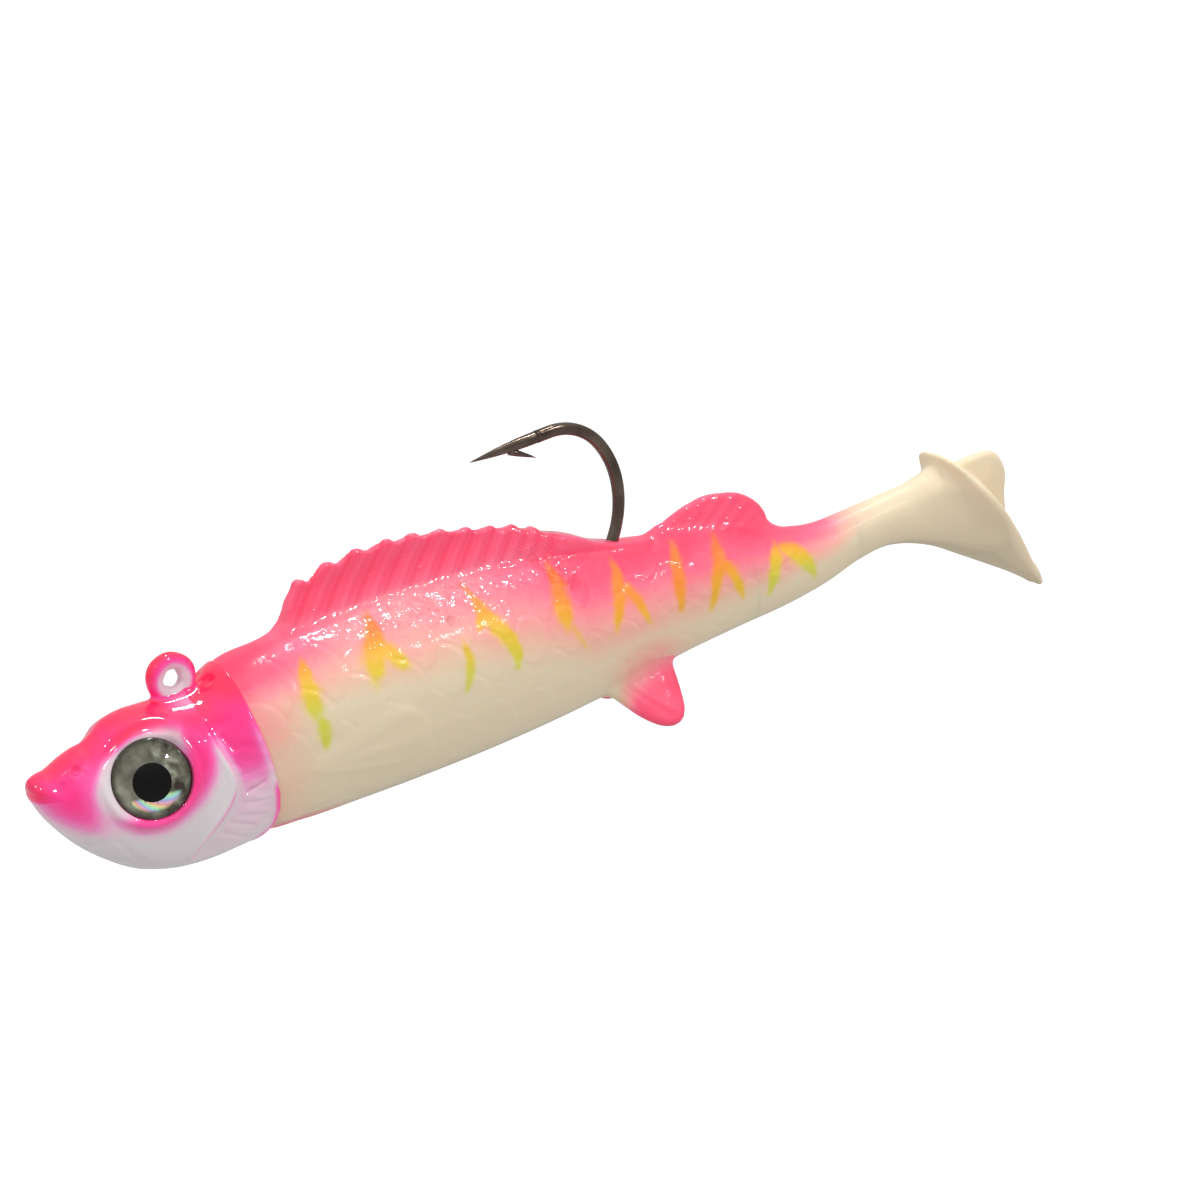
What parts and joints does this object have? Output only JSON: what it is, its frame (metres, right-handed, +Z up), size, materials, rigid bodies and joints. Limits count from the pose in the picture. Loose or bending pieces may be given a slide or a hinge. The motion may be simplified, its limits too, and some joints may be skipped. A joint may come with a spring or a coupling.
{
  "type": "swimbait fishing lure",
  "caption": "Soft finned fish body on an upturned single hook behind a painted metal jig head with a line-tie ring and domed eyes; the slanted paddle tail swings from side to side.",
  "frame": {"origin": "centre of the line-tie ring's hole, on top of the jig head", "axes": "+X runs from the head to the tail, +Z is up towards the hook point, and the fish's left side faces -Y; the hole of the ring runs along Y"},
  "size_m": [0.105, 0.0126, 0.0295],
  "materials": {
    "head_paint": "gloss",
    "hook_wire": "polished",
    "keeper_lead": "matte",
    "soft_body": "gloss",
    "soft_tail": "gloss",
    "soft_fin": "gloss",
    "eye_foil": "polished",
    "eye_pupil": "gloss",
    "eye_dome": "polished"
  },
  "bodies": {
    "trunk": {"head_casting": "head_paint", "hook_ring": "head_paint", "hook_shank": "hook_wire", "hook_bend": "hook_wire", "hook_point": "hook_wire", "bait_keeper": "keeper_lead", "front_body": "soft_body", "first_dorsal_fin": "soft_fin", "left_pelvic_fin": "soft_fin", "right_pelvic_fin": "soft_fin", "left_eye_foil": "eye_foil", "left_eye_pupil": "eye_pupil", "left_eye_dome": "eye_dome", "right_eye_foil": "eye_foil", "right_eye_pupil": "eye_pupil", "right_eye_dome": "eye_dome"},
    "rear": {"rear_body": "soft_body", "second_dorsal_fin": "soft_fin"},
    "stem": {"tail_stem": "soft_body"},
    "paddle": {"tail_paddle": "soft_tail", "tail_lobe": "soft_tail"}
  },
  "joints": [
    {"name": "body_bend", "type": "hinge", "parent": "trunk", "child": "rear", "pos_m": [0.0495, 0, -0.0068], "axis": [0, 0, 1], "range_deg": [-15, 15], "stiffness_Nm_per_rad": 0.0055},
    {"name": "stem_bend", "type": "hinge", "parent": "rear", "child": "stem", "pos_m": [0.0645, 0, -0.0079], "axis": [0, 0, 1], "range_deg": [-25, 25], "stiffness_Nm_per_rad": 0.0007},
    {"name": "paddle_kick", "type": "hinge", "parent": "stem", "child": "paddle", "pos_m": [0.0735, 0, -0.0068], "axis": [0, 0, 1], "range_deg": [-30, 30], "stiffness_Nm_per_rad": 0.0004}
  ]
}
